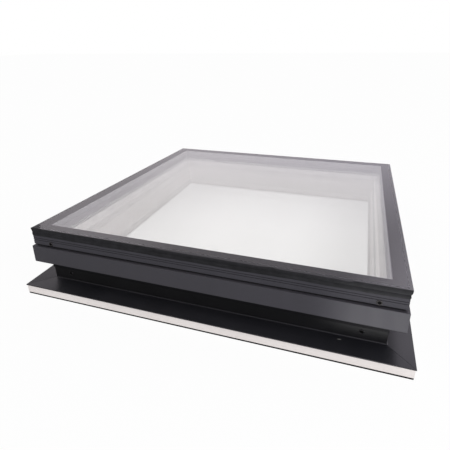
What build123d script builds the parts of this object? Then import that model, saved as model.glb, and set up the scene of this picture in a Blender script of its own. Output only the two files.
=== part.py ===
from build123d import *
from math import radians, tan
import os

# A fixed skylight for a flat roof, in millimetres. Its origin is the middle of its underside, with +Z up.
# Sections are drawn outward from the glass line, which is the outer edge of the weather bead, and each
# piece stands on the one below it. The kerb is level. A wedge on it gives the glass a fall to the rear, so
# the frame and all above it are drawn level and then tipped about the middle of the frame's underside.

# Whole skylight
glass_width = 1000.0
glass_depth = 1000.0
fall_angle = 1.7
cut_overrun = 5.0
slip_fit = 0.3

# Base seal, a compressible tape stuck under the flange
seal_thickness = 5.0
seal_width = 70.0
seal_inset = 0.4

# Kerb, a white hollow profile with a wide flange, a wall and a toe inside
flange_reach = 31.3
flange_height = 24.0
kerb_height = 91.0
wall_setback = 29.0
wall_depth = 27.8
lining_lean = 4.0
toe_reach = 8.0
toe_height = 9.0
toe_rise = 13.0
profile_shell = 2.8
profile_web = 1.8
flange_chambers = 3

# Flashing, a dark folded sheet over the flange and up the wall
flashing_thickness = 2.5
flashing_overhang = 2.0
flashing_drop = 28.0
flashing_fold_radius = 3.0
flashing_rim_radius = 0.8
flashing_mitre_gap = 0.6

# Screws, one domed kind for the flashing and the glazing bars, with a six-sided recess
head_radius = 6.4
crown_radius = 5.0
head_height = 1.6
recess_radius = 3.2
recess_depth = 1.0
shank_radius = 2.4
flashing_screw_length = 22.0
flashing_screw_setback = 85.0
flashing_screw_drop = 13.7
bar_screw_setback = 59.0
bar_screw_rise = 6.5

# Joint seal between the kerb and the wedge
joint_seal_thickness = 1.5
joint_seal_width = 16.0

# Fall wedge, a white tapered strip on the kerb, thinnest at the rear
wedge_rear_height = 2.0

# Skirt, dark aluminium cladding round the frame
skirt_reach = 5.5
skirt_thickness = 2.2
skirt_drop = 29.0
skirt_height = 52.5
skirt_corner_radius = 3.0
skirt_edge_radius = 1.0
drip_gap = 1.2

# Frame, a white hollow profile with a bevelled inside edge and a nose that hangs over the kerb
nose_gap = 1.5
rebate_setback = 19.0
rebate_depth = 4.8
bevel_setback = 38.0
bevel_width = 16.0
bevel_drop = 12.5
stiffener_thickness = 1.5
stiffener_end_setback = 45.0

# Frame gasket at the back of the shadow groove
frame_gasket_height = 5.2
frame_gasket_width = 10.0
frame_gasket_setback = 4.0

# Glazing bar, a dark hollow bar under the edge of the outer pane
bar_reach = 0.5
bar_depth = 18.5
bar_height = 27.3
bar_wall = 2.5
bar_edge_radius = 0.6
groove_count = 2
groove_width = 1.4
groove_depth = 0.8
groove_drop = 8.3
groove_pitch = 5.8
key_beyond_screw = 18.0

# Glazing unit, three panes on two spacers
bedding_thickness = 8.0
inner_pane_thickness = 6.0
middle_pane_thickness = 4.0
outer_pane_thickness = 8.8
pane_gap = 18.0
unit_setback = 22.0
edge_seal_width = 8.0
spacer_width = 7.0
spacer_edge_chamfer = 0.6
pane_arris = 1.0
arris_limit_share = 0.25
packer_length = 60.0
packer_height = 18.0
packer_place_share = 0.5

# Weather bead, black silicone round and under the outer pane
bead_width = 3.0
bead_edge_radius = 1.2

# Heights of the level pieces, from the roof up
kerb_bottom = seal_thickness
flange_top = kerb_bottom + flange_height
kerb_top = kerb_bottom + kerb_height
flashing_top = kerb_top - flashing_drop
flashing_screw_height = flashing_top - flashing_screw_drop
wedge_bottom = kerb_top + joint_seal_thickness

# Heights of the tipped pieces, at the middle of the skylight
wedge_rise = (glass_depth / 2 - wall_setback) * tan(radians(fall_angle))
frame_bottom = wedge_bottom + wedge_rear_height + wedge_rise
skirt_bottom = frame_bottom - skirt_drop
skirt_top = skirt_bottom + skirt_height
frame_top = skirt_top - skirt_thickness
rebate_floor = frame_top - rebate_depth
bar_bottom = skirt_top + frame_gasket_height
bar_screw_height = bar_bottom + bar_screw_rise
bar_top = bar_bottom + bar_height
inner_pane_bottom = rebate_floor + bedding_thickness
lower_gap_bottom = inner_pane_bottom + inner_pane_thickness
middle_pane_bottom = lower_gap_bottom + pane_gap
upper_gap_bottom = middle_pane_bottom + middle_pane_thickness
outer_pane_bottom = upper_gap_bottom + pane_gap
glass_top = outer_pane_bottom + outer_pane_thickness

# Places across the section, outward from the glass line
wall_face = -wall_setback
lining_top = wall_face - wall_depth
lining_bottom = lining_top - lining_lean
toe_face = lining_bottom - toe_reach
nose_back = wall_face + nose_gap
frame_face = skirt_reach - skirt_thickness
rebate_face = -rebate_setback
bevel_top = -bevel_setback
bevel_bottom = bevel_top - bevel_width
bar_back = bar_reach - bar_depth
unit_edge = -unit_setback
spacer_back = unit_edge - edge_seal_width
spacer_front = spacer_back - spacer_width
key_leg = bar_screw_setback + key_beyond_screw

sides = {"front": 0.0, "right": 90.0, "rear": 180.0, "left": 270.0}


# The four sides are one section, turned about the middle
def outward(turn):
    return Vector(0, -1, 0).rotate(Axis.Z, turn)


def along(turn):
    return outward(turn).cross(Vector(0, 0, 1))


def half_span(turn):
    return glass_depth / 2 if turn % 180 == 0 else glass_width / 2


def half_run(turn):
    return glass_width / 2 if turn % 180 == 0 else glass_depth / 2


def section_plane(turn):
    return Plane(outward(turn) * half_span(turn), x_dir=outward(turn), z_dir=along(turn))


def face_plane(turn, place, height):
    spot = outward(turn) * (half_span(turn) + place) + Vector(0, 0, height)
    return Plane(spot, x_dir=along(turn), z_dir=outward(turn))


def corner_plane(turn, height):
    spot = outward(turn) * half_span(turn) + outward(turn + 90) * half_run(turn)
    return Plane(spot + Vector(0, 0, height), x_dir=outward(turn), z_dir=Vector(0, 0, 1))


def outline(points, mode=Mode.ADD):
    with BuildLine() as trace:
        Polyline(*points, close=True)
    make_face(trace.edges(), mode=mode)


def run_both_ways(turn):
    extrude(amount=half_run(turn) + flange_reach + flashing_overhang + cut_overrun, both=True)


def cut_mitres(turn, gap=0):
    for end in (-1, 1):
        corner = outward(turn) * half_span(turn) + along(turn) * (end * half_run(turn))
        away = (along(turn) * end - outward(turn)).normalized()
        split(bisect_by=Plane(corner - away * (gap / 2), z_dir=away), keep=Keep.BOTTOM)


def round_corner(sketch, place, height, radius):
    fillet(sketch.vertices().sort_by_distance((place, height, 0))[0], radius)


def frame_ring(outer, inner):
    Rectangle(glass_width + 2 * outer, glass_depth + 2 * outer)
    Rectangle(glass_width + 2 * inner, glass_depth + 2 * inner, mode=Mode.SUBTRACT)


def pair(turn, setback):
    return [(-(half_run(turn) - setback), 0), (half_run(turn) - setback, 0)]


def add_holes(turn, place, height, setback, depth):
    with Locations(face_plane(turn, place, height)):
        with Locations(*pair(turn, setback)):
            Hole(shank_radius + slip_fit, depth=depth)


def add_screws(turn, place, height, setback, length):
    with Locations(face_plane(turn, place, height)):
        with Locations(*pair(turn, setback)):
            Cone(head_radius, crown_radius, head_height, align=(Align.CENTER, Align.CENTER, Align.MIN))
            Cylinder(shank_radius, length, align=(Align.CENTER, Align.CENTER, Align.MAX))
    with BuildSketch(face_plane(turn, place + head_height, height)) as recess:
        with Locations(*pair(turn, setback)):
            RegularPolygon(recess_radius, 6)
    extrude(recess.sketch, amount=-recess_depth, mode=Mode.SUBTRACT)


# The wedge's top, and a level cut as the pieces that will be tipped see it
fall_plane = Plane((0, 0, frame_bottom), z_dir=Vector(0, 0, 1).rotate(Axis.X, -fall_angle))
fall_axis = Axis((0, 0, frame_bottom), (1, 0, 0))


def level_plane(height):
    up = Vector(0, 0, 1).rotate(Axis.X, fall_angle)
    return Plane(Vector(0, 0, frame_bottom) + up * (height - frame_bottom), z_dir=up)


def keep_piece(piece, label):
    piece.label = label
    export_step(piece, f"parts/{label}.step")


def keep_tipped(piece, label):
    keep_piece(piece.rotate(fall_axis, -fall_angle), label)


os.makedirs("parts", exist_ok=True)

# Base seal: two long strips at the front and rear, and two butted between them
seal_edge = flange_reach - seal_inset
for side, turn in sides.items():
    butt = 0 if turn % 180 == 0 else seal_width
    with BuildPart() as base_seal:
        with BuildSketch(section_plane(turn)):
            with Locations((seal_edge - seal_width / 2, seal_thickness / 2)):
                Rectangle(seal_width, seal_thickness)
        extrude(amount=half_run(turn) + seal_edge - butt, both=True)
    keep_piece(base_seal.part, f"base_seal_{side}")

# Kerb: one hollow profile with three chambers in the flange, one in the toe and one up the wall
chamber_low = kerb_bottom + profile_shell
chamber_high = flange_top - profile_shell
chamber_span = (flange_reach - profile_shell - wall_face + profile_web) / flange_chambers
for side, turn in sides.items():
    with BuildPart() as kerb:
        with BuildSketch(section_plane(turn)):
            outline([
                (flange_reach, kerb_bottom),
                (flange_reach, flange_top),
                (wall_face, flange_top),
                (wall_face, kerb_top),
                (lining_top, kerb_top),
                (lining_bottom, kerb_bottom + toe_height + toe_rise),
                (toe_face, kerb_bottom + toe_height),
                (toe_face, kerb_bottom),
            ])
            for number in range(flange_chambers):
                edge = flange_reach - profile_shell - number * chamber_span
                outline([
                    (edge, chamber_low),
                    (edge, chamber_high),
                    (edge - chamber_span + profile_web, chamber_high),
                    (edge - chamber_span + profile_web, chamber_low),
                ], Mode.SUBTRACT)
            outline([
                (wall_face - profile_web, chamber_low),
                (wall_face - profile_web, chamber_high),
                (lining_bottom + profile_shell, chamber_high),
                (lining_bottom + profile_shell, kerb_bottom + toe_height + toe_rise),
                (toe_face + profile_shell, kerb_bottom + toe_height),
                (toe_face + profile_shell, chamber_low),
            ], Mode.SUBTRACT)
            outline([
                (wall_face - profile_shell, flange_top),
                (wall_face - profile_shell, kerb_top - profile_shell),
                (lining_top + profile_shell, kerb_top - profile_shell),
                (lining_top + profile_shell, flange_top),
            ], Mode.SUBTRACT)
        run_both_ways(turn)
        cut_mitres(turn)
        add_holes(
            turn,
            wall_face,
            flashing_screw_height,
            flashing_screw_setback,
            profile_shell + cut_overrun,
        )
    keep_piece(kerb.part, f"kerb_{side}")

# Flashing: a sheet folded once, with the fold radius inside and a rounded rim
flashing_face = wall_face + flashing_thickness
flashing_skin = flange_top + flashing_thickness
flashing_rim = flange_reach + flashing_overhang
for side, turn in sides.items():
    with BuildPart() as flashing:
        with BuildSketch(section_plane(turn)) as fold:
            outline([
                (flashing_rim, flange_top),
                (flashing_rim, flashing_skin),
                (flashing_face, flashing_skin),
                (flashing_face, flashing_top),
                (wall_face, flashing_top),
                (wall_face, flange_top),
            ])
            round_corner(fold, flashing_rim, flashing_skin, flashing_rim_radius)
            round_corner(fold, flashing_face, flashing_skin, flashing_fold_radius)
        run_both_ways(turn)
        cut_mitres(turn, flashing_mitre_gap)
        add_holes(
            turn,
            flashing_face,
            flashing_screw_height,
            flashing_screw_setback,
            flashing_thickness + slip_fit,
        )
    keep_piece(flashing.part, f"flashing_{side}")

# Flashing screws: two to a side, through the sheet and into the kerb wall
with BuildPart() as flashing_screws:
    for turn in sides.values():
        add_screws(
            turn,
            flashing_face,
            flashing_screw_height,
            flashing_screw_setback,
            flashing_screw_length,
        )
keep_piece(flashing_screws.part, "flashing_screws")

# Joint seal: a thin ring down the middle of the wall's top
seal_middle = wall_face - wall_depth / 2
with BuildPart() as joint_seal:
    with BuildSketch(Plane.XY.offset(kerb_top)):
        frame_ring(seal_middle + joint_seal_width / 2, seal_middle - joint_seal_width / 2)
    extrude(amount=joint_seal_thickness)
keep_piece(joint_seal.part, "joint_seal")

# Fall wedge: a strip as wide as the kerb's wall, cut to the fall along its top
for side, turn in sides.items():
    with BuildPart() as fall_wedge:
        with BuildSketch(section_plane(turn)):
            outline([
                (wall_face, wedge_bottom),
                (wall_face, frame_bottom + wedge_rise + cut_overrun),
                (lining_top, frame_bottom + wedge_rise + cut_overrun),
                (lining_top, wedge_bottom),
            ])
        run_both_ways(turn)
        cut_mitres(turn)
        split(bisect_by=fall_plane, keep=Keep.BOTTOM)
    keep_piece(fall_wedge.part, f"fall_wedge_{side}")

# Frame: a chamber for the stiffener in the nose and another behind the bevel
chamber_floor = skirt_bottom + skirt_thickness + profile_shell
stiffener_out = frame_face - profile_shell
stiffener_in = rebate_face + profile_shell
stiffener_roof = frame_top - profile_shell
for side, turn in sides.items():
    with BuildPart() as frame:
        with BuildSketch(section_plane(turn)):
            outline([
                (frame_face, skirt_bottom + skirt_thickness),
                (frame_face, frame_top),
                (rebate_face, frame_top),
                (rebate_face, rebate_floor),
                (bevel_top, rebate_floor),
                (bevel_bottom, rebate_floor - bevel_drop),
                (lining_top, frame_bottom),
                (nose_back, frame_bottom),
                (nose_back, skirt_bottom + skirt_thickness),
            ])
            outline([
                (stiffener_out, chamber_floor),
                (stiffener_out, stiffener_roof),
                (stiffener_in, stiffener_roof),
                (stiffener_in, chamber_floor),
            ], Mode.SUBTRACT)
            outline([
                (rebate_face, chamber_floor),
                (rebate_face, rebate_floor - profile_shell),
                (bevel_top + profile_shell, rebate_floor - profile_shell),
                (bevel_bottom + 2 * profile_shell, frame_bottom + profile_shell),
                (nose_back + profile_shell, frame_bottom + profile_shell),
                (nose_back + profile_shell, chamber_floor),
            ], Mode.SUBTRACT)
        run_both_ways(turn)
        cut_mitres(turn)
    keep_tipped(frame.part, f"frame_{side}")

# Stiffener: a steel tube that slips into the outer chamber and stops short of the mitres
tube_width = stiffener_out - stiffener_in - 2 * slip_fit
tube_height = stiffener_roof - chamber_floor - slip_fit
for side, turn in sides.items():
    with BuildPart() as stiffener:
        with BuildSketch(section_plane(turn)):
            with Locations(((stiffener_out + stiffener_in) / 2, chamber_floor + tube_height / 2)):
                Rectangle(tube_width, tube_height)
                Rectangle(
                    tube_width - 2 * stiffener_thickness,
                    tube_height - 2 * stiffener_thickness,
                    mode=Mode.SUBTRACT,
                )
        extrude(amount=half_run(turn) - stiffener_end_setback, both=True)
    keep_tipped(stiffener.part, f"stiffener_{side}")

# Skirt: one bent section with a top ledge, a face and a return under the frame. At the front and the sides
# a drip leg closes the space down to the flashing, and at the rear the fall leaves no space to close
ledge_back = rebate_face
drip_bottom = flashing_top + drip_gap
drip_face = nose_back + skirt_thickness
drip_blank = drip_bottom - wedge_rise - cut_overrun
for side, turn in sides.items():
    with BuildPart() as skirt:
        with BuildSketch(section_plane(turn)) as bend:
            outline([
                (ledge_back, frame_top),
                (ledge_back, skirt_top),
                (skirt_reach, skirt_top),
                (skirt_reach, skirt_bottom),
                (nose_back, skirt_bottom),
                (nose_back, skirt_bottom + skirt_thickness),
                (frame_face, skirt_bottom + skirt_thickness),
                (frame_face, frame_top),
            ])
            round_corner(bend, skirt_reach, skirt_top, skirt_edge_radius)
            round_corner(bend, skirt_reach, skirt_bottom, skirt_corner_radius)
            if side != "rear":
                outline([
                    (drip_face, skirt_bottom),
                    (drip_face, drip_blank),
                    (nose_back, drip_blank),
                    (nose_back, skirt_bottom),
                ])
        run_both_ways(turn)
        cut_mitres(turn)
        if side != "rear":
            split(bisect_by=level_plane(drip_bottom), keep=Keep.TOP)
    keep_tipped(skirt.part, f"skirt_{side}")

# Frame gasket: a ring set back from both faces, so that the joint reads as a dark groove
with BuildPart() as frame_gasket:
    with BuildSketch(Plane.XY.offset(skirt_top)):
        frame_ring(-frame_gasket_setback, -frame_gasket_setback - frame_gasket_width)
    extrude(amount=frame_gasket_height)
keep_tipped(frame_gasket.part, "frame_gasket")

# Glazing bar: a hollow bar with two fine grooves along its face and a screw hole near each end
for side, turn in sides.items():
    with BuildPart() as glazing_bar:
        with BuildSketch(section_plane(turn)) as bar:
            outline([
                (bar_reach, bar_bottom),
                (bar_reach, bar_top),
                (bar_back, bar_top),
                (bar_back, bar_bottom),
            ])
            round_corner(bar, bar_reach, bar_bottom, bar_edge_radius)
            round_corner(bar, bar_reach, bar_top, bar_edge_radius)
            outline([
                (bar_reach - bar_wall, bar_bottom + bar_wall),
                (bar_reach - bar_wall, bar_top - bar_wall),
                (bar_back + bar_wall, bar_top - bar_wall),
                (bar_back + bar_wall, bar_bottom + bar_wall),
            ], Mode.SUBTRACT)
            for number in range(groove_count):
                with Locations((bar_reach, bar_top - groove_drop - number * groove_pitch)):
                    Rectangle(2 * groove_depth, groove_width, mode=Mode.SUBTRACT)
        run_both_ways(turn)
        cut_mitres(turn)
        add_holes(turn, bar_reach, bar_screw_height, bar_screw_setback, bar_wall + slip_fit)
    keep_tipped(glazing_bar.part, f"glazing_bar_{side}")

# Corner key: an angle that slides into two bars at a corner and takes one screw in each leg
key_out = bar_reach - bar_wall - slip_fit
key_in = bar_back + bar_wall + slip_fit
key_low = bar_bottom + bar_wall
key_height = bar_height - 2 * bar_wall - slip_fit
turns = list(sides.values())
names = list(sides)
for number, turn in enumerate(turns):
    with BuildPart() as corner_key:
        with BuildSketch(corner_plane(turn, key_low)):
            outline([
                (key_out, key_out),
                (key_out, -key_leg),
                (key_in, -key_leg),
                (key_in, key_in),
                (-key_leg, key_in),
                (-key_leg, key_out),
            ])
        extrude(amount=key_height)
        for leg in (turn, turn + 90):
            add_holes(leg, key_out, bar_screw_height, bar_screw_setback, key_out - key_in + slip_fit)
    keep_tipped(corner_key.part, f"corner_key_{names[number]}_{names[(number + 1) % len(names)]}")

# Glazing screws: two to a bar, through its face and into the leg of a corner key
with BuildPart() as glazing_screws:
    for turn in turns:
        add_screws(turn, bar_reach, bar_screw_height, bar_screw_setback, bar_reach - key_in)
keep_tipped(glazing_screws.part, "glazing_screws")

# Edge packers: two per side between the panes and the bar
packer_middle = (lower_gap_bottom + upper_gap_bottom) / 2
with BuildPart() as edge_packers:
    for turn in turns:
        with BuildSketch(face_plane(turn, unit_edge, packer_middle)):
            with Locations(*pair(turn, half_run(turn) * packer_place_share)):
                Rectangle(packer_length, packer_height)
        extrude(amount=bar_back - unit_edge)
keep_tipped(edge_packers.part, "edge_packers")

# Bedding gasket: the ring that the glazing unit rests on, in the rebate of the frame
with BuildPart() as bedding_gasket:
    with BuildSketch(Plane.XY.offset(rebate_floor)):
        frame_ring(unit_edge, bevel_top)
    extrude(amount=bedding_thickness)
keep_tipped(bedding_gasket.part, "bedding_gasket")

# Panes: the two lower ones end behind the bars, and the outer one steps out over them
panes = {
    "inner_pane": (inner_pane_bottom, inner_pane_thickness, unit_edge),
    "middle_pane": (middle_pane_bottom, middle_pane_thickness, unit_edge),
    "outer_pane": (outer_pane_bottom, outer_pane_thickness, -bead_width),
}
for name, (bottom, thickness, edge) in panes.items():
    with BuildPart() as pane:
        with BuildSketch(Plane.XY.offset(bottom)):
            Rectangle(glass_width + 2 * edge, glass_depth + 2 * edge)
        extrude(amount=thickness)
        chamfer(pane.edges(), min(pane_arris, thickness * arris_limit_share))
    keep_tipped(pane.part, name)

# Spacers and the sealant round them, one set in each gap
gaps = {"lower": lower_gap_bottom, "upper": upper_gap_bottom}
for name, bottom in gaps.items():
    with BuildPart() as spacer:
        with BuildSketch(Plane.XY.offset(bottom)):
            frame_ring(spacer_back, spacer_front)
        extrude(amount=pane_gap)
        inner_edges = spacer.edges().filter_by(Axis.Z, reverse=True).sort_by(
            lambda edge: abs(edge.center().X) + abs(edge.center().Y)
        )[:8]
        chamfer(inner_edges, spacer_edge_chamfer)
    keep_tipped(spacer.part, f"{name}_spacer")

    with BuildPart() as edge_seal:
        with BuildSketch(Plane.XY.offset(bottom)):
            frame_ring(unit_edge, spacer_back)
        extrude(amount=pane_gap)
    keep_tipped(edge_seal.part, f"{name}_edge_seal")

# Weather bead: it fills the step over the bars and wraps the edge of the outer pane
with BuildPart() as weather_bead:
    with BuildSketch(Plane.XY.offset(bar_top)):
        frame_ring(0, bar_back)
    extrude(amount=outer_pane_bottom - bar_top)
    with BuildSketch(Plane.XY.offset(outer_pane_bottom)):
        frame_ring(0, -bead_width)
    extrude(amount=outer_pane_thickness)
    rim_edges = weather_bead.edges().group_by(Axis.Z)[-1].sort_by(
        lambda edge: abs(edge.center().X) + abs(edge.center().Y)
    )[-4:]
    fillet(rim_edges, bead_edge_radius)
keep_tipped(weather_bead.part, "weather_bead")
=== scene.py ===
import math

import bpy
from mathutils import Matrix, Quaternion, Vector


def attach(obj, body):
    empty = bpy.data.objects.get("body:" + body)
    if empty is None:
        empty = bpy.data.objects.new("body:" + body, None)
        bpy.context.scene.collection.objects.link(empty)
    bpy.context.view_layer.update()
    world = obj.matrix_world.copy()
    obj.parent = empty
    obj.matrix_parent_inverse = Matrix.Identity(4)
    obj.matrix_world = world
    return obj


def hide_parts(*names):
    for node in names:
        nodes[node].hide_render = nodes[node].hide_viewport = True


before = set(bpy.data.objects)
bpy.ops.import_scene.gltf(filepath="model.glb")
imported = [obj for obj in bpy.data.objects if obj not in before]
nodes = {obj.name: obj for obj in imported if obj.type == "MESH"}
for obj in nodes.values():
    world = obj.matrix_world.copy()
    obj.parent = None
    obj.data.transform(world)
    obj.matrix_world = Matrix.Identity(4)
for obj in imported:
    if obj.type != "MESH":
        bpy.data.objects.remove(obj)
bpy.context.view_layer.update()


# Base seal: four strips of black closed-cell foam tape, stuck under the flange of the kerb.
# The foam is dull and finely pitted, and the load of the skylight has pressed it flat.
sides = ("front", "right", "rear", "left")


def linear(red, green, blue):
    """A colour as a screen shows it, each part from 0 to 255, in the shader's own values."""
    shares = [value / 255 for value in (red, green, blue)]
    return [s / 12.92 if s <= 0.04045 else ((s + 0.055) / 1.055) ** 2.4 for s in shares] + [1.0]


def connect(finish, *pairs):
    for start, end in pairs:
        finish.node_tree.links.new(start, end)


def feed(finish, socket, value):
    """Joins a socket to another node's output, or sets it to a plain value."""
    if isinstance(value, bpy.types.NodeSocket):
        connect(finish, (value, socket))
    else:
        socket.default_value = value


def add_node(finish, kind, **values):
    node = finish.node_tree.nodes.new(kind)
    for name, value in values.items():
        feed(finish, node.inputs[name.replace("_", " ")], value)
    return node


def shader_of(finish):
    return finish.node_tree.nodes["Principled BSDF"]


def into_shader(finish, **values):
    for name, value in values.items():
        feed(finish, shader_of(finish).inputs[name.replace("_", " ")], value)


def new_finish(name, roughness, specular=0.5, metallic=0.0):
    finish = bpy.data.materials.new(name)
    finish.use_nodes = True
    into_shader(finish, Roughness=roughness, Specular_IOR_Level=specular, Metallic=metallic)
    return finish


def add_noise(finish, scale, detail, stretch=(1.0, 1.0, 1.0)):
    """Noise on the piece's own coordinates, drawn out along an axis where its stretch is small."""
    place = add_node(finish, "ShaderNodeTexCoord").outputs["Object"]
    mapping = add_node(finish, "ShaderNodeMapping", Vector=place, Scale=stretch)
    stretched = mapping.outputs["Vector"]
    noise = add_node(finish, "ShaderNodeTexNoise", Vector=stretched, Scale=scale, Detail=detail)
    return noise.outputs["Fac"]


def add_range(finish, source, low, high, start=0.3, end=0.7, kind="LINEAR"):
    """A value that goes from low to high while its source goes from start to end."""
    spread = add_node(
        finish, "ShaderNodeMapRange", Value=source, From_Min=start, From_Max=end, To_Min=low, To_Max=high
    )
    spread.interpolation_type = kind
    return spread.outputs["Result"]


def add_tones(finish, source, dark, light, start=0.3, end=0.7):
    tones = add_node(finish, "ShaderNodeValToRGB", Fac=source)
    first, last = tones.color_ramp.elements
    first.position, first.color = start, dark
    last.position, last.color = end, light
    return tones.outputs["Color"]


def add_bump(finish, source, height, strength=1.0):
    bump = add_node(finish, "ShaderNodeBump", Height=source, Strength=strength, Distance=height)
    return bump.outputs["Normal"]


def dress(finish, *names):
    for name in names:
        mesh = nodes[name].data
        mesh.materials.clear()
        mesh.materials.append(finish)


foam = new_finish("foam_tape", roughness=0.9, specular=0.2)
foam_cells = add_noise(foam, scale=900, detail=4)
into_shader(
    foam,
    Base_Color=add_tones(foam, foam_cells, linear(10, 10, 11), linear(22, 22, 23)),
    Normal=add_bump(foam, foam_cells, height=0.0006),
)
dress(foam, *[f"base_seal_{side}" for side in sides])


# Kerb: four lengths of hollow white PVC-U profile, mitred and welded at the corners. The wide flange lies
# on the roof, the wall stands up from it, and the toe runs round the foot of the lining inside.
# Painted shade greys the lining at its foot, and on the right also in a band under the joint. The right-hand
# kerb has a lighter copy of the white as painted light.
white_tones = (linear(236, 229, 227), linear(242, 236, 234))
# A lighter copy of the white, as painted light.
painted_light_tones = (linear(250, 245, 244), linear(254, 250, 249))
painted_shade_grey = linear(150, 144, 145)
along_x, along_y = (0.01, 1, 1), (1, 0.01, 1)
die_line_stretch = {"front": along_x, "right": along_y, "rear": along_x, "left": along_y}
kerb_tones = {"front": white_tones, "right": painted_light_tones, "rear": white_tones, "left": white_tones}
lining_reach = 0.4445
foot_start = 0.022
toe_top = 0.027
band_start = 0.064
band_end = 0.074
# Painted shade on the lining: a share of grey at the foot and in a band under the joint.
kerb_painted_shade = {
    "right": {"foot_end": toe_top, "foot_shade": 0.75, "band_shade": 0.85},
    "rear": {"foot_end": 0.095, "foot_shade": 0.32, "band_shade": 0.0},
    "left": {"foot_end": toe_top, "foot_shade": 0.55, "band_shade": 0.0},
}


def add_math(finish, operation, *values):
    step = add_node(finish, "ShaderNodeMath")
    step.operation = operation
    for socket, value in zip(step.inputs, values):
        feed(finish, socket, value)
    return step.outputs["Value"]


def add_sum(finish, total, *others):
    for other in others:
        total = add_math(finish, "ADD", total, other)
    return total


def add_product(finish, product, *others):
    for other in others:
        product = add_math(finish, "MULTIPLY", product, other)
    return product


def add_soft_step(finish, source, start, end, low, high):
    """As add_range, with a soft start and a soft end."""
    return add_range(finish, source, low, high, start, end, kind="SMOOTHSTEP")


def add_mix(finish, share, first, second):
    """The first colour where the share is 0, and the second where it is 1."""
    mix = add_node(finish, "ShaderNodeMix")
    mix.data_type = "RGBA"
    first_colour, second_colour = mix.inputs[6:8]
    feed(finish, mix.inputs["Factor"], share)
    feed(finish, first_colour, first)
    feed(finish, second_colour, second)
    return mix.outputs[2]


def add_parts(finish, vector):
    """A vector's parts to the right, to the rear and up."""
    return tuple(add_node(finish, "ShaderNodeSeparateXYZ", Vector=vector).outputs)


def add_place(finish):
    return add_parts(finish, add_node(finish, "ShaderNodeTexCoord").outputs["Object"])


def add_reach(finish, right, rear):
    """How far out from the middle of the skylight, square to the nearest side."""
    return add_math(
        finish, "MAXIMUM", add_math(finish, "ABSOLUTE", right), add_math(finish, "ABSOLUTE", rear)
    )


def white_profile(name, side, tones):
    """Faint lines from the extrusion die run along the profile, over a slightly cloudy white."""
    finish = new_finish(name, roughness=0.38, specular=0.45)
    die_lines = add_noise(finish, scale=420, detail=3, stretch=die_line_stretch[side])
    clouds = add_noise(finish, scale=6, detail=3)
    into_shader(
        finish,
        Base_Color=add_tones(finish, clouds, *tones),
        Roughness=add_range(finish, die_lines, 0.32, 0.46),
        Normal=add_bump(finish, die_lines, height=0.00008, strength=0.4),
    )
    return finish


def paint_shade(finish, share):
    """Greys a finish as painted shade, by a share that differs from place to place."""
    colour = shader_of(finish).inputs["Base Color"]
    connect(finish, (add_mix(finish, share, colour.links[0].from_socket, painted_shade_grey), colour))


def paint_lining_shade(finish, foot_end, foot_shade, band_shade):
    right, rear, up = add_place(finish)
    inside = add_math(finish, "LESS_THAN", add_reach(finish, right, rear), lining_reach)
    foot = add_soft_step(finish, up, foot_start, foot_end, foot_shade, 0.0)
    band = add_soft_step(finish, up, band_start, band_end, 0.0, band_shade)
    paint_shade(finish, add_product(finish, inside, add_sum(finish, foot, band)))


for side in sides:
    kerb_finish = white_profile(f"white_kerb_{side}", side, kerb_tones[side])
    if side in kerb_painted_shade:
        paint_lining_shade(kerb_finish, **kerb_painted_shade[side])
    dress(kerb_finish, f"kerb_{side}")


# Flashing: dark coated sheet, folded once, laid over the flange and screwed to the wall of the kerb.
# Its coating is smooth and satin and was rolled on along the length, so its shine spreads across that.
# There are a few dull rubs, the level part is lighter than the upright wall, and there is one pale scuff near
# the right-hand end.
level_part_tones = (linear(17, 18, 22), linear(21, 22, 26))
wall_tones = (linear(6, 7, 9), linear(9, 10, 12))
fold_foot = 0.0318
fold_top = 0.0360
scuff_place = (0.367, -0.4885, 0.0315)
scuff_turn = (0, 0, 0.12)
scuff_size = (0.006, 0.0022, 0.01)
scuff_colour = linear(190, 188, 186)


def spread_shine(finish, axis, amount):
    """Shine drawn out round the axis that the piece was rolled or extruded along."""
    turned = add_node(finish, "ShaderNodeTangent")
    turned.direction_type = "RADIAL"
    turned.axis = axis
    into_shader(finish, Anisotropic=amount, Tangent=turned.outputs["Tangent"])


def dark_sheet(name, axis):
    finish = new_finish(name, roughness=0.4, specular=0.4)
    rubs = add_noise(finish, scale=9, detail=5)
    peel = add_noise(finish, scale=700, detail=2)
    place = add_node(finish, "ShaderNodeTexCoord").outputs["Object"]
    up = add_parts(finish, place)[2]
    coating = add_mix(
        finish,
        add_soft_step(finish, up, fold_foot, fold_top, 0.0, 1.0),
        add_tones(finish, rubs, *level_part_tones),
        add_tones(finish, rubs, *wall_tones),
    )
    scuff = add_node(
        finish, "ShaderNodeMapping", Vector=place, Location=scuff_place, Rotation=scuff_turn, Scale=scuff_size
    )
    scuff.vector_type = "TEXTURE"
    ball = add_node(finish, "ShaderNodeTexGradient", Vector=scuff.outputs["Vector"])
    ball.gradient_type = "SPHERICAL"
    scuffed = add_range(finish, ball.outputs["Fac"], 0.0, 0.35, start=0.0, end=0.6)
    into_shader(
        finish,
        Base_Color=add_mix(finish, scuffed, coating, scuff_colour),
        Roughness=add_range(finish, rubs, 0.36, 0.44),
        Normal=add_bump(finish, peel, height=0.00004, strength=0.3),
    )
    spread_shine(finish, axis, 0.8)
    return finish


dress(dark_sheet("dark_sheet_across", "X"), "flashing_front", "flashing_rear")
dress(dark_sheet("dark_sheet_deep", "Y"), "flashing_left", "flashing_right")


# Joint seal: a thin ring of black sealant down the middle of the wall, which bonds the wedge to the kerb.
# It is set back from both faces, so only a fine dark line of it can be seen. The frame's gasket, at the back
# of the groove over the skirt, is the same dull black.
rubber = new_finish("black_seal", roughness=0.7, specular=0.35)
rubber_skin = add_noise(rubber, scale=300, detail=3)
into_shader(
    rubber,
    Base_Color=add_tones(rubber, rubber_skin, linear(16, 16, 17), linear(30, 30, 32)),
    Normal=add_bump(rubber, rubber_skin, height=0.0002, strength=0.5),
)
dress(rubber, "joint_seal", "frame_gasket")
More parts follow.
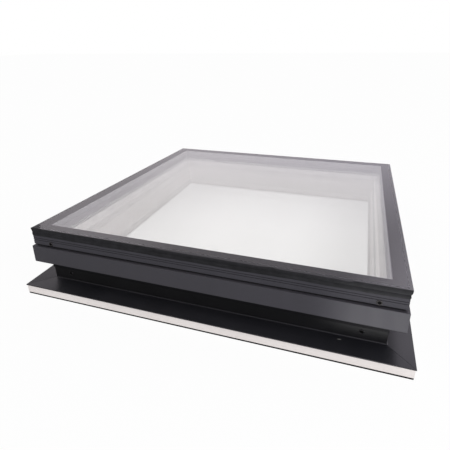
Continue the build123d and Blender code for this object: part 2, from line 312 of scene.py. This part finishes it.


# Fall wedge and frame: a tapered white strip on the kerb gives the glass its fall to the rear. On it are four
# lengths of hollow white PVC-U profile, mitred and welded, with a bevelled edge inside that is greyed by
# painted shade on the right. A galvanised steel tube stiffens the outer chamber of each. As painted light and
# shade, the left wedge has a greyer copy of the white, and the right wedge and the right, rear and left
# frames a lighter one.
fall_angle = math.radians(1.7)
fall_line_height = 0.11348
# A greyer copy of the white, as painted shade on the left wedge.
painted_shade_tones = (linear(203, 195, 194), linear(209, 201, 200))
wedge_tones = {"front": white_tones, "right": painted_light_tones, "rear": white_tones, "left": painted_shade_tones}
frame_tones = {"front": white_tones, "right": painted_light_tones, "rear": painted_light_tones, "left": painted_light_tones}
bevel_foot = 0.1182
bevel_top = 0.1200
# A grey share on the right frame's bevel, as painted shade.
bevel_painted_shade = 0.62


def add_level_place(finish):
    """The piece's own coordinates with the fall taken out, for the pieces above the kerb."""
    right, rear, up = add_place(finish)
    rise = add_math(finish, "SUBTRACT", up, fall_line_height)
    sine, cosine = math.sin(fall_angle), math.cos(fall_angle)
    level_rear = add_math(
        finish, "SUBTRACT", add_product(finish, rear, cosine), add_product(finish, rise, sine)
    )
    level_rise = add_sum(finish, add_product(finish, rise, cosine), add_product(finish, rear, sine))
    return right, level_rear, add_sum(finish, level_rise, fall_line_height)


for side in sides:
    dress(white_profile(f"white_wedge_{side}", side, wedge_tones[side]), f"fall_wedge_{side}")
    frame_finish = white_profile(f"white_frame_{side}", side, frame_tones[side])
    if side == "right":
        level_up = add_level_place(frame_finish)[2]
        paint_shade(frame_finish, add_soft_step(frame_finish, level_up, bevel_foot, bevel_top, 0.0, bevel_painted_shade))
    dress(frame_finish, f"frame_{side}")

zinc = new_finish("zinc_coat", roughness=0.4, metallic=1.0)
spangle = add_noise(zinc, scale=60, detail=2)
into_shader(
    zinc,
    Base_Color=add_tones(zinc, spangle, linear(150, 153, 156), linear(190, 192, 194)),
    Roughness=add_range(zinc, spangle, 0.3, 0.5),
)
dress(zinc, *[f"stiffener_{side}" for side in sides])


# Skirt: dark powder-coated aluminium cladding, bent to one section with a ledge, a face, a return and a drip
# leg. The coat has a fine orange peel and faint upright wipe marks. Painted shade darkens it and takes its
# shine off the return, the drip leg and the lowest part of the bend, and half of it off the ledge.
# The dark, less shiny coat off the face is painted shade.
painted_shade_coat = linear(15, 15, 18)
painted_shade_specular = 0.25
ledge_shade_share = 0.5
side_blur = 0.0002
low_blur = 0.0013
high_blur = 0.0005


def dark_coat(name, axis, tones, specular, face_reach, low_edge, high_edge):
    """Painted shade darkens the coat and lowers its shine off the face, which lies past a reach and between
    two edges.
    """
    finish = new_finish(name, roughness=0.5, specular=specular)
    wipes = add_noise(finish, scale=26, detail=4, stretch=(1, 1, 0.12))
    peel = add_noise(finish, scale=900, detail=2)
    right, rear, up = add_level_place(finish)
    reach = add_reach(finish, right, rear)
    unshaded = add_product(
        finish,
        add_soft_step(finish, reach, face_reach - side_blur, face_reach + side_blur, 0.0, 1.0),
        add_soft_step(finish, up, low_edge, low_edge + low_blur, 0.0, 1.0),
        add_soft_step(finish, up, high_edge, high_edge + high_blur, 1.0, ledge_shade_share),
    )
    into_shader(
        finish,
        Base_Color=add_mix(finish, unshaded, painted_shade_coat, add_tones(finish, wipes, *tones)),
        Specular_IOR_Level=add_range(finish, unshaded, painted_shade_specular, specular, start=0.0, end=1.0),
        Roughness=add_range(finish, wipes, 0.46, 0.54),
        Normal=add_bump(finish, peel, height=0.00006, strength=0.35),
    )
    spread_shine(finish, axis, 0.95)
    return finish


skirt_look = {
    "tones": (linear(46, 45, 52), linear(50, 49, 56)),
    "specular": 0.8,
    "face_reach": 0.490,
    "low_edge": 0.0864,
    "high_edge": 0.1362,
}
dress(dark_coat("skirt_coat_across", "X", **skirt_look), "skirt_front", "skirt_rear")
dress(dark_coat("skirt_coat_deep", "Y", **skirt_look), "skirt_left", "skirt_right")


# Glazing bars: hollow aluminium bars in the same coat with less shine, mitred over cast corner keys.
# Two fine grooves run along each face above the screws, and painted shade darkens them.
bar_look = {
    "tones": (linear(57, 56, 62), linear(61, 60, 66)),
    "specular": 0.28,
    "face_reach": 0.5001,
    "low_edge": 0.14,
    "high_edge": 0.18,
}
dress(dark_coat("bar_coat_across", "X", **bar_look), "glazing_bar_front", "glazing_bar_rear")
dress(dark_coat("bar_coat_deep", "Y", **bar_look), "glazing_bar_left", "glazing_bar_right")

corners = ("front_right", "right_rear", "rear_left", "left_front")
cast = new_finish("cast_key", roughness=0.5, metallic=1.0)
cast_skin = add_noise(cast, scale=250, detail=4)
into_shader(
    cast,
    Base_Color=add_tones(cast, cast_skin, linear(140, 141, 143), linear(172, 173, 175)),
    Normal=add_bump(cast, cast_skin, height=0.0003),
)
dress(cast, *[f"corner_key_{corner}" for corner in corners])


# Screws: black machine screws with a low domed head and a star recess, which is painted near-black as shade.
# Two hold each bar to its corner keys and two hold each length of flashing to the kerb. The flashing's
# screws, in shade under the skirt, have a darker and duller copy of the steel as painted shade.
head_sides = 48
head_radius = 0.0067
head_section = ((0.0066, 0.0008), (0.0062, 0.0014), (0.0056, 0.0017), (0.0049, 0.0016), (0.0044, 0.0012))
recess_radius = 0.0040
recess_depth = 0.0009
recess_share = 0.72
recess_lobes = 6
recess_limit = 1.01 * recess_radius
foot_limit = 0.999 * head_radius
shank_radius = 0.0024
touch = 0.000001
head_fold_angle = math.radians(35)
fall_centre = Vector((0, 0, fall_line_height))

black_steel = new_finish("blackened_steel", roughness=0.3, metallic=0.5)
steel_skin = add_noise(black_steel, scale=700, detail=3)
into_shader(
    black_steel,
    Base_Color=add_tones(black_steel, steel_skin, linear(44, 42, 43), linear(64, 61, 61)),
    Roughness=add_range(black_steel, steel_skin, 0.22, 0.36),
)
# A darker, duller copy of the steel, as painted shade on the flashing's screws.
shaded_steel = new_finish("shaded_black_steel", roughness=0.5, specular=0.3)
shaded_steel_skin = add_noise(shaded_steel, scale=700, detail=3)
into_shader(shaded_steel, Base_Color=add_tones(shaded_steel, shaded_steel_skin, linear(20, 20, 22), linear(30, 30, 32)))
# Near-black in the star recess, as painted shade.
recess_painted_shade = new_finish("recess_painted_shade", roughness=0.8, specular=0.1)
into_shader(recess_painted_shade, Base_Color=linear(8, 8, 8))


def deselect():
    bpy.ops.object.select_all(action="DESELECT")


def pick(piece, test):
    """Selects the vertices that pass the test, and goes into edit mode."""
    bpy.ops.object.mode_set(mode="OBJECT")
    for part in (piece.data.polygons, piece.data.edges):
        part.foreach_set("select", [False] * len(part))
    for vertex in piece.data.vertices:
        vertex.select = test(vertex)
    bpy.ops.object.mode_set(mode="EDIT")


def extrude_up(rise, share):
    """Extrudes the selected ring up or down, and scales the new ring about the middle."""
    bpy.ops.mesh.extrude_region_move(TRANSFORM_OT_translate={"value": (0, 0, rise)})
    bpy.ops.transform.resize(value=(share, share, 1))


def apply_place(piece):
    deselect()
    piece.select_set(True)
    bpy.context.view_layer.objects.active = piece
    bpy.ops.object.transform_apply(location=True, rotation=True, scale=True)


def tip(piece):
    """Gives a piece that was modelled level the fall of the glass, about the foot of the frame."""
    turn = Quaternion((1, 0, 0), -fall_angle)
    piece.rotation_mode = "QUATERNION"
    piece.rotation_quaternion = turn
    piece.location = fall_centre - turn @ fall_centre
    apply_place(piece)


def star_screw(length, finish):
    """One screw on the Z axis with the foot of its head at 0."""
    recess_top = head_section[-1][1]
    recess_section = ((recess_radius, recess_top), (recess_radius, recess_top - recess_depth))
    lobe = 2 * math.pi / recess_lobes

    def between_lobes(vertex):
        turn = math.atan2(vertex.co.y, vertex.co.x) % lobe
        return abs(turn - lobe / 2) < lobe / 4 and vertex.co.xy.length < recess_limit

    def on_foot(vertex):
        return vertex.co.xy.length > foot_limit and vertex.co.z < touch

    deselect()
    bpy.ops.mesh.primitive_circle_add(vertices=head_sides, radius=head_radius, fill_type="NGON")
    screw = bpy.context.object
    bpy.ops.object.mode_set(mode="EDIT")
    last_radius, last_height = head_radius, 0.0
    for radius, height in head_section + recess_section:
        extrude_up(height - last_height, radius / last_radius)
        last_radius, last_height = radius, height
    pick(screw, between_lobes)
    bpy.ops.transform.resize(value=(recess_share, recess_share, 1))
    pick(screw, on_foot)
    extrude_up(0, shank_radius / head_radius)
    extrude_up(-length, 1)
    bpy.ops.mesh.edge_face_add()
    bpy.ops.mesh.select_all(action="SELECT")
    bpy.ops.mesh.normals_make_consistent(inside=False)
    bpy.ops.object.mode_set(mode="OBJECT")
    bpy.ops.object.shade_smooth_by_angle(angle=head_fold_angle)
    screw.data.materials.append(finish)
    screw.data.materials.append(recess_painted_shade)
    for face in screw.data.polygons:
        face.material_index = int(face.center.z > 0 and face.center.xy.length < recess_radius)
    return screw


def set_screws(name, finish, length, face, aside, height):
    """Two screws in each of the four faces, joined as one piece in place of the CAD node."""
    first = star_screw(length, finish)
    lying = Quaternion((1, 0, 0), math.pi / 2)
    placed = []
    for quarter in range(4):
        turn = Quaternion((0, 0, 1), quarter * math.pi / 2)
        for along in (-aside, aside):
            screw = first.copy()
            screw.data = first.data.copy()
            bpy.context.scene.collection.objects.link(screw)
            screw.location = turn @ Vector((along, -face, height))
            screw.rotation_mode = "QUATERNION"
            screw.rotation_quaternion = turn @ lying
            placed.append(screw)
    bpy.data.objects.remove(first)
    deselect()
    for screw in placed:
        screw.select_set(True)
    bpy.context.view_layer.objects.active = placed[0]
    bpy.ops.object.transform_apply(location=True, rotation=True, scale=True)
    bpy.ops.object.join()
    screws = bpy.context.object
    screws.name = name + "_heads"
    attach(screws, "root")
    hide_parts(name)
    return screws


tip(set_screws("glazing_screws", black_steel, length=0.016, face=0.5005, aside=0.441, height=0.14868))
set_screws("flashing_screws", shaded_steel, length=0.020, face=0.4735, aside=0.415, height=0.0543)


# Bedding gasket and packers: the glazing unit rests on a grey ring in the rebate of the frame, and hard
# plastic packers hold it clear of the bars. The ring's grey is darkened as painted shade, so it shows as a
# thin dark line under the panes.
bedding = new_finish("bedding_seal_painted_shade", roughness=0.6, specular=0.4)
bedding_skin = add_noise(bedding, scale=200, detail=3)
into_shader(bedding, Base_Color=add_tones(bedding, bedding_skin, linear(64, 61, 68), linear(74, 71, 78)))
dress(bedding, "bedding_gasket")

packer = new_finish("packer_plastic", roughness=0.45)
packer_skin = add_noise(packer, scale=120, detail=2)
into_shader(packer, Base_Color=add_tones(packer, packer_skin, linear(30, 60, 110), linear(36, 68, 120)))
dress(packer, "edge_packers")


# Spacers: two grey warm-edge rings hold the panes apart, with black sealant round them to the edge of the
# unit. The spacer's face toward the gap is finely ribbed and dull.
spacer = new_finish("spacer_grey", roughness=0.5, specular=0.4)
spacer_ribs = add_noise(spacer, scale=400, detail=3, stretch=(1, 1, 0.2))
into_shader(
    spacer,
    Base_Color=add_tones(spacer, spacer_ribs, linear(108, 104, 113), linear(120, 116, 125)),
    Normal=add_bump(spacer, spacer_ribs, height=0.0001, strength=0.4),
)
dress(spacer, "lower_spacer", "upper_spacer")
dress(rubber, "lower_edge_seal", "upper_edge_seal")


# Panes: three sheets of clear float glass, the outer one thicker and wider than the two below it.
# Each is faintly grey from its thin heat-reflecting coating.
glass_tint = (0.916, 0.914, 0.909, 1.0)
glass = new_finish("clear_glass", roughness=0.0)
into_shader(glass, Base_Color=glass_tint, IOR=1.5, Transmission_Weight=1.0)
dress(glass, "inner_pane", "middle_pane", "outer_pane")


# Printed border: black enamel, printed on the underside of the outer pane and fired into it. It hides the
# edge of the glazing unit and keeps the sun off the sealant.
border_outer = 0.496
border_inner = 0.4652
border_bottom = 0.18398
border_thickness = 0.00012

deselect()
bpy.ops.mesh.primitive_plane_add(size=2 * border_outer, location=(0, 0, border_bottom))
border = bpy.context.object
border.name = "printed_border"
bpy.ops.object.mode_set(mode="EDIT")
bpy.ops.mesh.inset(thickness=border_outer - border_inner)
bpy.ops.mesh.delete(type="FACE")
bpy.ops.mesh.select_all(action="SELECT")
bpy.ops.mesh.extrude_region_move(TRANSFORM_OT_translate={"value": (0, 0, border_thickness)})
bpy.ops.mesh.select_all(action="SELECT")
bpy.ops.mesh.normals_make_consistent(inside=False)
bpy.ops.object.mode_set(mode="OBJECT")
apply_place(border)
tip(border)
enamel = new_finish("black_enamel", roughness=0.6, specular=0.0)
enamel_skin = add_noise(enamel, scale=150, detail=3)
into_shader(enamel, Base_Color=add_tones(enamel, enamel_skin, linear(20, 20, 22), linear(28, 27, 30)))
border.data.materials.append(enamel)
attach(border, "root")


# Weather bead: black silicone gunned round and under the edge of the outer pane and smoothed by hand. Its
# borders waver, a fine crease runs along the face, the top is wiped to a shine, and a smear lies over the
# front left corner of the glass.
bead_section = (
    (0.49550, 0.19283),
    (0.49850, 0.19286),
    (0.50040, 0.19284),
    (0.50120, 0.19190),
    (0.50140, 0.18980),
    (0.50140, 0.18500),
    (0.50080, 0.18020),
    (0.50030, 0.17930),
    (0.50080, 0.17840),
    (0.50140, 0.17450),
    (0.50120, 0.17130),
    (0.50060, 0.16900),
    (0.49900, 0.16955),
    (0.48220, 0.16955),
    (0.48220, 0.18395),
    (0.49705, 0.18395),
    (0.49705, 0.19260),
    (0.49690, 0.19282),
)
bead_cuts = 150
bead_fold_angle = math.radians(40)
bead_start, glass_top = bead_section[0]
face_rows = {3: 0.6, 4: 1.0, 5: 0.8, 9: 1.0, 10: 0.6}
crease_rows = {6: 1.0, 7: 1.0, 8: 1.0}
low_border_rows = {9: 0.3, 10: 0.8, 11: 1.0}
shoulder_rows = {2: 0.2, 3: 1.0, 4: 1.0}
worn_stretches = ((-0.095, 0.190), (0.212, 0.375))
worn_rows = {2: (0.0014, 0), 3: (0.0002, -0.0005), 4: (-0.0010, -0.0002), 5: (-0.0012, 0), 6: (-0.0006, 0)}
right_rows = {1: 0.0012, 2: 0.0030, 3: 0.0023, 4: 0.0021, 5: 0.0017}
edge_reach = 0.49
smear_corner = Vector((-bead_section[2][0], -bead_section[2][0]))
smear_size = 0.020
smear_reach = bead_section[1][0] + 0.001
smear_depth = 0.0001
smear_push = (0.007, 0.006, 0.0004)
lump_size = 0.009
lump_depth = 0.0050
lump_push = (-0.0010, -0.0010, 0)
dull_size = 0.028
wiped_depth = 0.0060
wiped_slope = 0.3


def add_waver(piece, name, weights, direction, size, wave, depth):
    """A soft uneven push along one axis, on the rows of the section that have a weight."""
    group = piece.vertex_groups.new(name=name)
    for vertex in piece.data.vertices:
        reach = max(abs(vertex.co.x), abs(vertex.co.y))
        faces_y = abs(vertex.co.y) >= reach - touch
        if row_of[vertex.index] in weights and (direction == "Z" or faces_y == (direction == "Y")):
            group.add([vertex.index], weights[row_of[vertex.index]], "REPLACE")
    clouds = bpy.data.textures.new(name, "CLOUDS")
    clouds.noise_scale = wave
    clouds.noise_depth = depth
    push = piece.modifiers.new(name, "DISPLACE")
    push.texture = clouds
    push.texture_coords = "LOCAL"
    push.direction = direction
    push.mid_level = 0.5
    push.strength = size
    push.vertex_group = name


def row_nearest(place):
    """The point of the section that a vertex belongs to, by its number."""
    reach = max(abs(place.x), abs(place.y))
    away = [(reach - row_reach) ** 2 + (place.z - height) ** 2 for row_reach, height in bead_section]
    return away.index(min(away))


def push_row(row, chosen, shift):
    """Moves a chosen stretch of one row of the section."""
    pick(bead, lambda vertex: row_of[vertex.index] == row and chosen(vertex.co))
    bpy.ops.transform.translate(value=shift)


def worn(place):
    return place.y < -edge_reach and any(start < place.x < end for start, end in worn_stretches)


def on_smear(vertex):
    on_glass = max(abs(vertex.co.x), abs(vertex.co.y)) < smear_reach
    on_top = vertex.co.z > glass_top - smear_depth
    return on_glass and on_top and (vertex.co.xy - smear_corner).length < smear_size


def on_lump(vertex):
    return vertex.co.z > glass_top - lump_depth and (vertex.co.xy - smear_corner).length < lump_size


deselect()
bpy.ops.mesh.primitive_plane_add(size=2 * bead_start, location=(0, 0, glass_top))
bead = bpy.context.object
bead.name = "hand_tooled_bead"
apply_place(bead)
bpy.ops.object.mode_set(mode="EDIT")
bpy.ops.mesh.select_all(action="SELECT")
bpy.ops.mesh.delete(type="ONLY_FACE")
bpy.ops.mesh.select_all(action="SELECT")
for (last_reach, last_height), (reach, height) in zip(bead_section, bead_section[1:]):
    extrude_up(height - last_height, reach / last_reach)
bpy.ops.mesh.select_all(action="DESELECT")
bpy.ops.mesh.select_mode(type="EDGE")
bpy.ops.mesh.select_non_manifold()
bpy.ops.mesh.bridge_edge_loops()
bpy.ops.object.mode_set(mode="OBJECT")
for part in (bead.data.polygons, bead.data.vertices):
    part.foreach_set("select", [False] * len(part))
for edge in bead.data.edges:
    ends = [bead.data.vertices[i].co for i in edge.vertices]
    edge.select = (ends[0] - ends[1]).length > bead_start
bpy.ops.object.mode_set(mode="EDIT")
bpy.ops.mesh.subdivide(number_cuts=bead_cuts)
bpy.ops.mesh.select_mode(type="VERT")
bpy.ops.mesh.select_all(action="SELECT")
bpy.ops.mesh.normals_make_consistent(inside=False)
bpy.ops.object.mode_set(mode="OBJECT")
row_of = [row_nearest(vertex.co) for vertex in bead.data.vertices]
add_waver(bead, "face_y", face_rows, "Y", size=0.0014, wave=0.08, depth=2)
add_waver(bead, "face_x", face_rows, "X", size=0.0014, wave=0.08, depth=2)
add_waver(bead, "crease", crease_rows, "Z", size=0.0020, wave=0.12, depth=1)
add_waver(bead, "low_border", low_border_rows, "Z", size=0.0050, wave=0.09, depth=2)
add_waver(bead, "shoulder", shoulder_rows, "Z", size=0.0014, wave=0.06, depth=2)
for name in [modifier.name for modifier in bead.modifiers]:
    bpy.ops.object.modifier_apply(modifier=name)
for row, (inward, upward) in worn_rows.items():
    push_row(row, worn, (0, inward, upward))
for row, outward in right_rows.items():
    push_row(row, lambda place: place.x > edge_reach, (outward, 0, 0))
pick(bead, on_smear)
bpy.ops.transform.translate(value=smear_push)
pick(bead, on_lump)
bpy.ops.transform.translate(value=lump_push)
bpy.ops.object.mode_set(mode="OBJECT")
bpy.ops.object.shade_smooth_by_angle(angle=bead_fold_angle)

silicone = new_finish("black_silicone", roughness=0.55, specular=0.15)
silicone_skin = add_noise(silicone, scale=60, detail=4)
into_shader(
    silicone,
    Base_Color=add_tones(silicone, silicone_skin, linear(28, 28, 30), linear(40, 40, 43)),
    Normal=add_bump(silicone, silicone_skin, height=0.0005, strength=0.4),
)
tooled = new_finish("tooled_silicone", roughness=0.14)
tooled_skin = add_noise(tooled, scale=60, detail=4)
into_shader(
    tooled,
    Base_Color=add_tones(tooled, tooled_skin, linear(22, 22, 24), linear(32, 32, 35)),
    Roughness=add_range(tooled, tooled_skin, 0.06, 0.14),
)
bead.data.materials.append(silicone)
bead.data.materials.append(tooled)
for face in bead.data.polygons:
    wiped = face.normal.z > wiped_slope and face.center.z > glass_top - wiped_depth
    smeared = (face.center.xy - smear_corner).length < dull_size
    face.material_index = int(wiped and not smeared)
tip(bead)
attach(bead, "root")
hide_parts("weather_bead")


# Stage: a white floor that keeps the skylight's shadow, in a plain white studio. Seen through the panes, its
# glow carries painted shade, dimmer toward the lining and darkest under the kerb. In reflections the floor
# has a bright card lying at the front right, and the studio has three soft windows and a darker left-hand
# side.
floor_size = 40.0
floor_grey = (0.85, 0.85, 0.85, 1.0)
well_grey = (0.2, 0.2, 0.2, 1.0)
white_share = 0.94
well_reach = 0.4315
kerb_reach = 0.5
kerb_shade = 0.45
mirrored_grey = 0.8
white = (1.0, 1.0, 1.0, 1.0)
ambient = 0.85
studio_level = 0.96
left_tint = (1.09, 1.02, 1.085, 1.0)
right_tint = (1.08, 1.02, 1.14, 1.0)
studio_windows = (
    {"direction": (0.370, 0.696, 0.616), "start": 0.905, "end": 0.985, "amount": 1.4},
    {"direction": (-0.570, 0.670, 0.475), "start": 0.980, "end": 1.0, "amount": 0.30},
    {"direction": (-0.28, -0.36, 0.89), "start": 0.85, "end": 0.97, "amount": 0.7},
)
panel_place = Vector((2.4, -1.2, 1.6))
panel_target = Vector((0.3, -0.3, 0.1))
panel_size = 1.4
panel_power = 26


def add_blend(finish, share, first, second):
    """The first value where the share is 0, and the second where it is 1."""
    return add_sum(finish, first, add_product(finish, add_math(finish, "SUBTRACT", second, first), share))


def add_rays(finish):
    """Rays that show the background, and rays that only mirror it."""
    path = add_node(finish, "ShaderNodeLightPath").outputs
    shown = add_math(finish, "MAXIMUM", path["Is Camera Ray"], path["Is Transmission Ray"])
    mirrored = add_math(finish, "SUBTRACT", path["Is Glossy Ray"], path["Is Transmission Ray"])
    return shown, add_math(finish, "MAXIMUM", mirrored, 0.0)


def add_window(heading, direction, start, end, amount):
    """A soft bright area of the studio, round one direction."""
    toward = add_node(world, "ShaderNodeVectorMath")
    toward.operation = "DOT_PRODUCT"
    feed(world, toward.inputs[0], heading)
    feed(world, toward.inputs[1], direction)
    return add_soft_step(world, toward.outputs["Value"], start, end, 0.0, amount)


deselect()
bpy.ops.mesh.primitive_plane_add(size=floor_size, location=(0, 0, 0))
floor = bpy.context.object
floor.name = "floor"
pale = new_finish("pale_floor", roughness=1.0, specular=0.0)
shown, mirrored = add_rays(pale)
right, rear = add_place(pale)[:2]
reach = add_reach(pale, right, rear)
in_well = add_math(pale, "LESS_THAN", reach, well_reach)
under_kerb = add_math(pale, "SUBTRACT", add_math(pale, "LESS_THAN", reach, kerb_reach), in_well)
well_shade = add_sum(
    pale,
    add_soft_step(pale, right, start=0.15, end=0.44, low=0.19, high=-0.12),
    add_soft_step(pale, right, start=-0.10, end=-0.44, low=0.0, high=-0.24),
    add_soft_step(pale, rear, start=0.0, end=0.44, low=0.0, high=-0.22),
)
lit_floor = add_math(
    pale,
    "SUBTRACT",
    add_sum(pale, add_product(pale, well_shade, in_well), 1.0),
    add_product(pale, under_kerb, kerb_shade),
)
dull_card = add_soft_step(pale, rear, start=-0.60, end=-0.72, low=0.02, high=0.5)
bright_card = add_soft_step(pale, rear, start=-0.60, end=-0.86, low=5.0, high=1.1)
at_right = add_soft_step(pale, right, start=0.29, end=0.42, low=0.0, high=1.0)
at_front = add_soft_step(pale, rear, start=-0.560, end=-0.595, low=0.0, high=1.0)
card = add_blend(pale, at_right, dull_card, bright_card)
mirrored_floor = add_blend(pale, at_front, mirrored_grey, card)
into_shader(pale, Base_Color=add_tones(pale, in_well, floor_grey, well_grey, start=0.0, end=1.0))
glow = add_node(pale, "ShaderNodeEmission", Color=white, Strength=lit_floor)
mirror_glow = add_node(pale, "ShaderNodeEmission", Color=white, Strength=mirrored_floor)
shown_mix = add_node(pale, "ShaderNodeMixShader", Fac=add_product(pale, shown, white_share))
mirror_mix = add_node(pale, "ShaderNodeMixShader", Fac=mirrored)
connect(
    pale,
    (shader_of(pale).outputs["BSDF"], shown_mix.inputs[1]),
    (glow.outputs["Emission"], shown_mix.inputs[2]),
    (shown_mix.outputs["Shader"], mirror_mix.inputs[1]),
    (mirror_glow.outputs["Emission"], mirror_mix.inputs[2]),
    (mirror_mix.outputs["Shader"], pale.node_tree.nodes["Material Output"].inputs["Surface"]),
)
floor.data.materials.append(pale)

world = bpy.data.worlds.new("white_studio")
bpy.context.scene.world = world
world.use_nodes = True
shown, mirrored = add_rays(world)
heading = add_node(world, "ShaderNodeTexCoord").outputs["Generated"]
right, rear, up = add_parts(world, heading)
near_side = add_product(
    world,
    add_soft_step(world, right, start=-0.06, end=0.06, low=-0.6, high=0.5),
    add_soft_step(world, rear, start=0.0, end=-0.3, low=0.0, high=1.0),
    add_soft_step(world, up, start=0.60, end=0.85, low=1.0, high=0.0),
)
low_sky = add_soft_step(world, up, start=0.47, end=0.36, low=0.0, high=0.09)
windows = [add_window(heading, **window) for window in studio_windows]
studio = add_sum(world, *windows, near_side, low_sky, studio_level)
plain = add_blend(world, shown, ambient, 1.0)
side_share = add_range(world, right, 0.0, 1.0, start=-0.5, end=0.1)
tint = add_tones(world, side_share, left_tint, right_tint, start=0.0, end=1.0)
background = world.node_tree.nodes["Background"]
feed(world, background.inputs["Color"], add_mix(world, mirrored, white, tint))
feed(world, background.inputs["Strength"], add_blend(world, mirrored, plain, studio))

lamp = bpy.data.lights.new("right_panel", "AREA")
lamp.shape = "SQUARE"
lamp.size = panel_size
lamp.energy = panel_power
panel = bpy.data.objects.new("right_panel", lamp)
panel.location = panel_place
panel.rotation_mode = "QUATERNION"
panel.rotation_quaternion = (panel_target - panel_place).to_track_quat("-Z", "Y")
panel.visible_camera = False
panel.visible_glossy = False
panel.visible_transmission = False
bpy.context.scene.collection.objects.link(panel)


# Camera: at the place and with the lens that were fitted to the straight edges of the skylight.
# Light goes through six faces of glass and comes back through them, so it is given room for many bounces.
lens = 30.484
sensor = 36.0
camera_place = (0.3594, -1.2391, 0.6962)
turn = -0.3219
tilt = 0.3912
roll = 0.0142
shift_aside = -0.0214
shift_up = -0.0630
near_limit = 0.01
glass_bounces = 24
shine_bounces = 8
matt_bounces = 6
camera_data = bpy.data.cameras.new("camera")
camera_data.lens = lens
camera_data.sensor_width = sensor
camera_data.shift_x = shift_aside
camera_data.shift_y = shift_up
camera_data.clip_start = near_limit
camera = bpy.data.objects.new("camera", camera_data)
camera.location = camera_place
camera.rotation_mode = "QUATERNION"
aim = Quaternion((0, 0, 1), -turn) @ Quaternion((1, 0, 0), math.pi / 2 - tilt)
camera.rotation_quaternion = aim @ Quaternion((0, 0, 1), -roll)
scene = bpy.context.scene
scene.collection.objects.link(camera)
scene.camera = camera
scene.view_settings.view_transform = "Standard"
scene.cycles.blur_glossy = 0.0
scene.cycles.max_bounces = glass_bounces
scene.cycles.transmission_bounces = glass_bounces
scene.cycles.transparent_max_bounces = glass_bounces
scene.cycles.glossy_bounces = shine_bounces
scene.cycles.diffuse_bounces = matt_bounces
